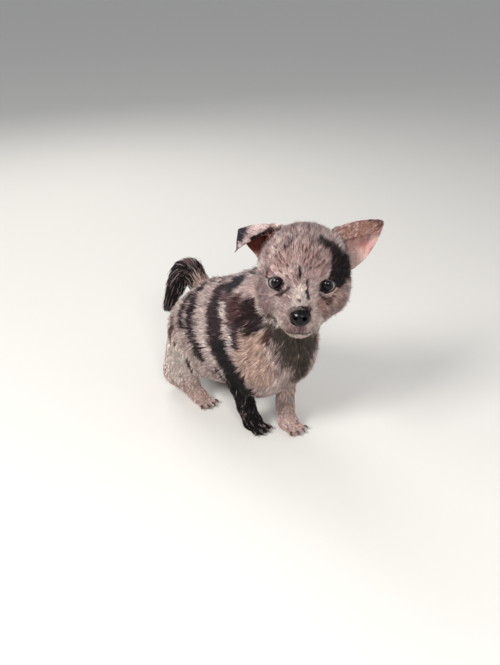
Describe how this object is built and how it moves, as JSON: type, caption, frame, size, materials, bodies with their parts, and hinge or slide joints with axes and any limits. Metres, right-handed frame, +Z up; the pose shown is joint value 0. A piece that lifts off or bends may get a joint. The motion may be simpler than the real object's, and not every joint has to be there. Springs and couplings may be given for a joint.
{
  "type": "chihuahua puppy",
  "caption": "Life-size merle chihuahua puppy standing with bent hind legs, head turned to its right, one ear folded over and tail hooked up.",
  "frame": {"origin": "on the ground, below the middle of the box round the puppy", "axes": "the trunk faces -Y, the puppy's left is +X, +Z up"},
  "size_m": [0.0818, 0.1858, 0.1795],
  "materials": {
    "coat": "short soft merle fur, pinkish grey with dark patches",
    "dark_coat": "short soft black fur",
    "ear": "thin skin with short velvety fur outside, nearly bare and pink inside",
    "nose": "moist grained black skin",
    "eye": "wet, very dark brown"
  },
  "bodies": {
    "root": {"torso": "coat", "neck": "coat", "head": "coat", "lower_jaw": "coat", "nose": "nose", "eye_left": "eye", "eye_right": "eye", "ear_left": "ear", "ear_right": "ear", "tail": "dark_coat", "foreleg_left": "coat", "foreleg_right": "dark_coat", "hindleg_left": "coat", "hindleg_right": "coat"}
  },
  "joints": []
}
